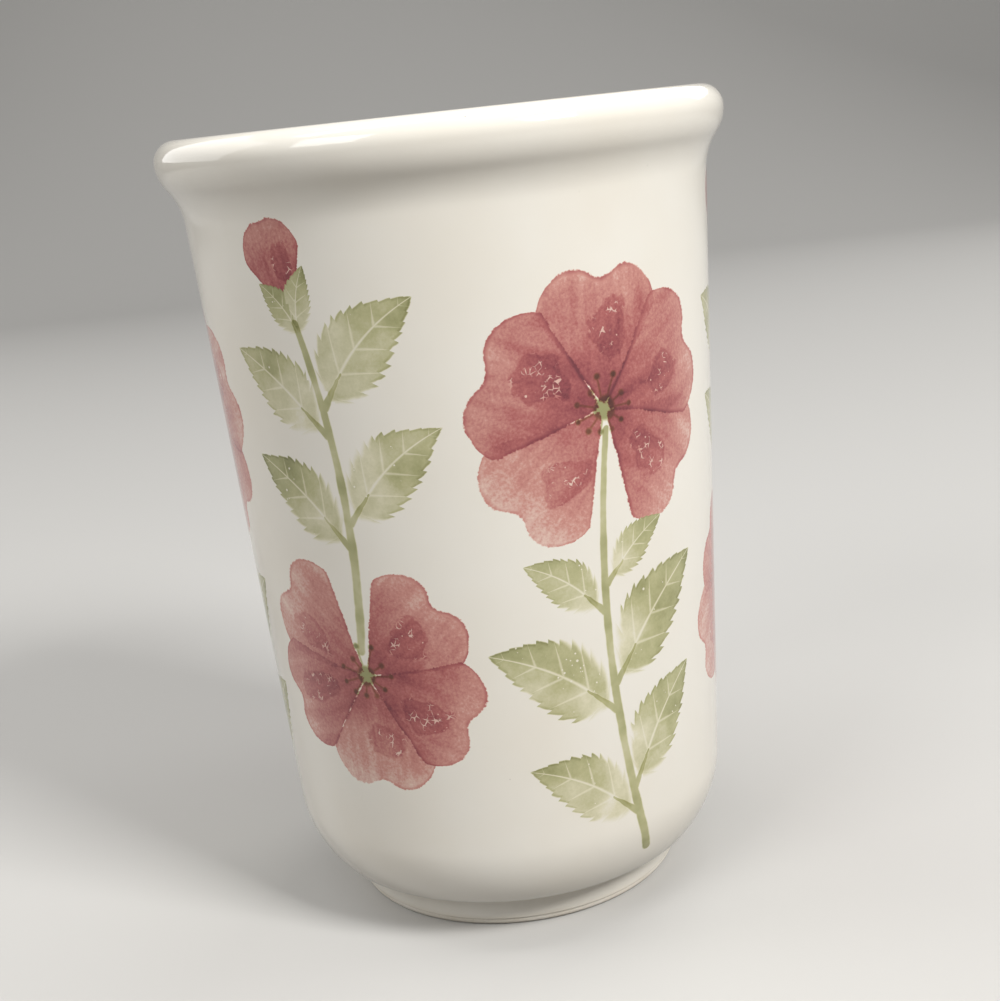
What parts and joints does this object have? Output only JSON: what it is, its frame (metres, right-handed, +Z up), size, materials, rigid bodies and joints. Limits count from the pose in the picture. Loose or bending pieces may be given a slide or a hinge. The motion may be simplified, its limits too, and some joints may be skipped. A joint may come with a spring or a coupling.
{
  "type": "utensil crock",
  "caption": "Tapered earthenware crock with a rolled rim, a rounded shoulder and a low foot ring, glazed in white with painted blossoms, open at the top to hold kitchen utensils.",
  "frame": {"origin": "centre of the foot ring's standing edge, on the surface that the crock stands on", "axes": "+Z up along the crock's axis, from the foot to the mouth; the form is round, so +X and +Y are free, and -Y is the side that the picture shows"},
  "size_m": [0.1244, 0.1244, 0.178],
  "materials": {
    "biscuit_clay": "bare fired white earthenware",
    "painted_glaze": "glossy glaze over painted decoration",
    "white_glaze": "glossy glaze"
  },
  "bodies": {
    "root": {"foot_ring": "biscuit_clay", "base_bowl": "biscuit_clay", "wall": "biscuit_clay", "rolled_rim": "biscuit_clay", "outer_glaze": "painted_glaze", "inner_glaze": "white_glaze", "foot_well_glaze": "white_glaze"}
  },
  "joints": []
}
